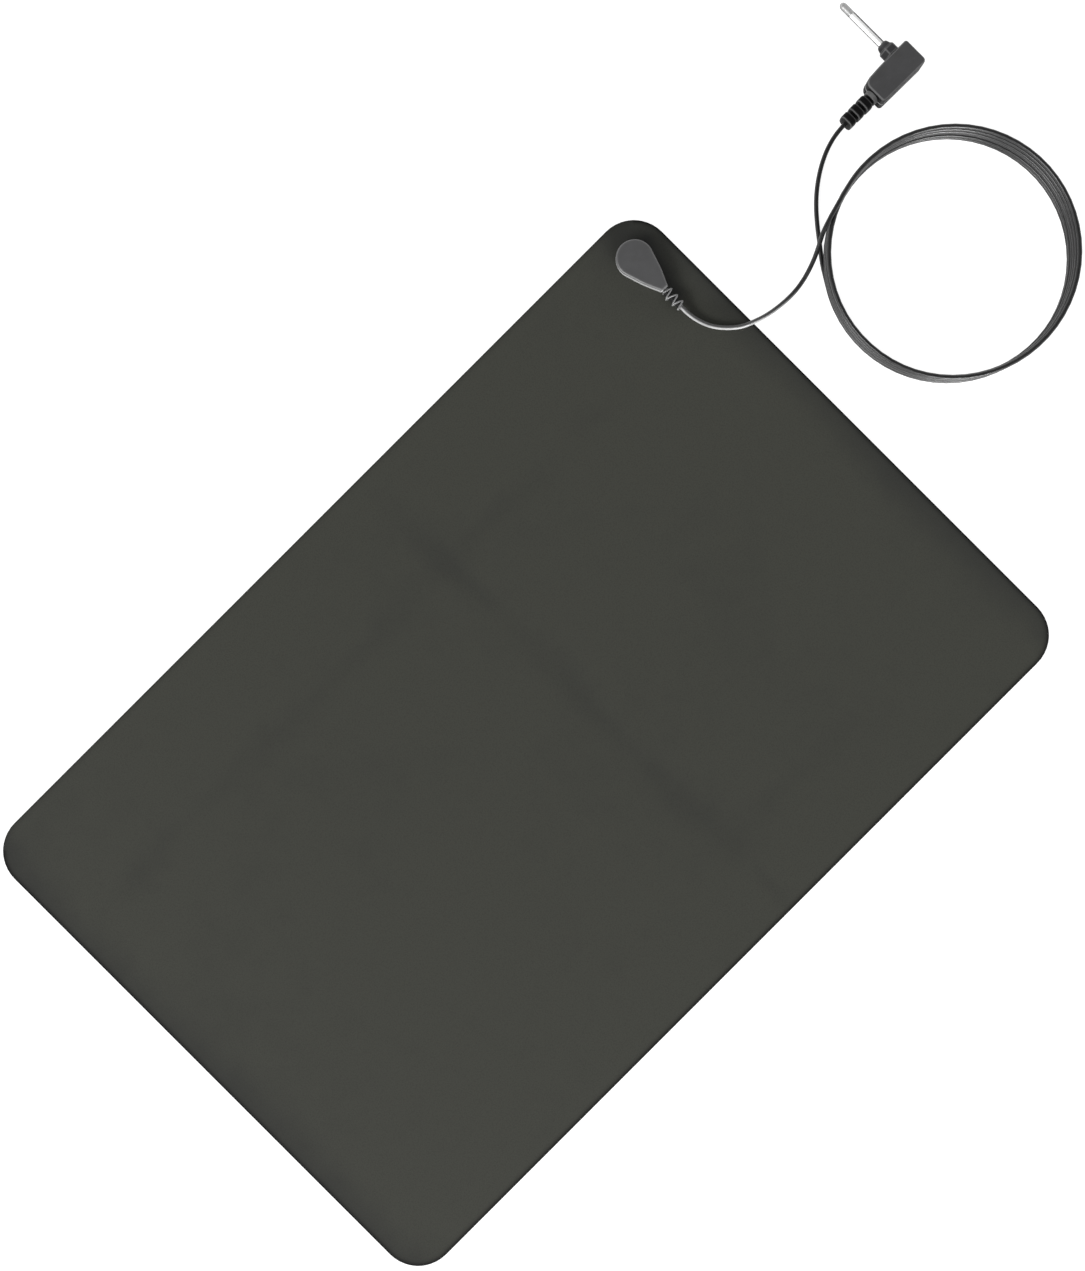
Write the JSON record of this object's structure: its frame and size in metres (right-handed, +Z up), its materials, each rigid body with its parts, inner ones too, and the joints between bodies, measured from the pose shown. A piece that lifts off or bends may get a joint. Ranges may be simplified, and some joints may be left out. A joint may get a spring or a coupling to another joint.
{
  "type": "grounding mat",
  "caption": "Thin rectangular leatherette mat with a corner press stud, a swivelling press-stud lead wound into a coil, and a right-angle one-pin plug.",
  "frame": {"origin": "middle of the mat's underside, on the surface that it rests on", "axes": "+X along the mat's long side, towards the edge that the lead crosses; +Y along its short side, towards the edge beside the snap; +Z up out of the mat's face"},
  "size_m": [0.8011, 0.4, 0.0207],
  "materials": {
    "face_leatherette": "matte, fine grain",
    "core_foam": "matte felt",
    "backing_rubber": "matte",
    "plated_steel": "bright plated",
    "spring_steel": "bright",
    "brass": "satin",
    "copper": "satin copper",
    "resistor_lacquer": "lacquered",
    "casing_plastic": "satin",
    "collar_plastic": "satin",
    "relief_rubber": "satin",
    "cord_sheath": "satin",
    "plated_pin": "bright nickel plate"
  },
  "bodies": {
    "mat": {"backing_sheet": "backing_rubber", "core_sheet": "core_foam", "face_sheet": "face_leatherette", "snap_stud": "plated_steel", "stud_back_cap": "plated_steel"},
    "socket": {"snap_socket": "plated_steel", "socket_spring_left": "spring_steel", "socket_spring_right": "spring_steel"},
    "lead": {"connector_base": "casing_plastic", "connector_cover": "casing_plastic", "socket_rivet": "brass", "ring_terminal": "brass", "resistor": "resistor_lacquer", "crimp_sleeve": "copper", "lead_conductor": "copper", "connector_strain_relief": "relief_rubber", "cord_lead": "cord_sheath", "cord_coil": "cord_sheath", "cord_tail": "cord_sheath", "plug_strain_relief": "relief_rubber", "plug_shell_lower": "casing_plastic", "plug_shell_upper": "casing_plastic", "pin_collar": "collar_plastic", "ground_pin": "plated_pin", "plug_conductor": "copper"}
  },
  "joints": [
    {"name": "snap_pull_off", "type": "slide", "parent": "mat", "child": "socket", "axis": [0, 0, 1], "range_m": [0, 0.01]},
    {"name": "snap_swivel", "type": "hinge", "parent": "socket", "child": "lead", "pos_m": [0.273, 0.173, 0.005], "axis": [0, 0, 1], "range_deg": [0, 120]}
  ]
}
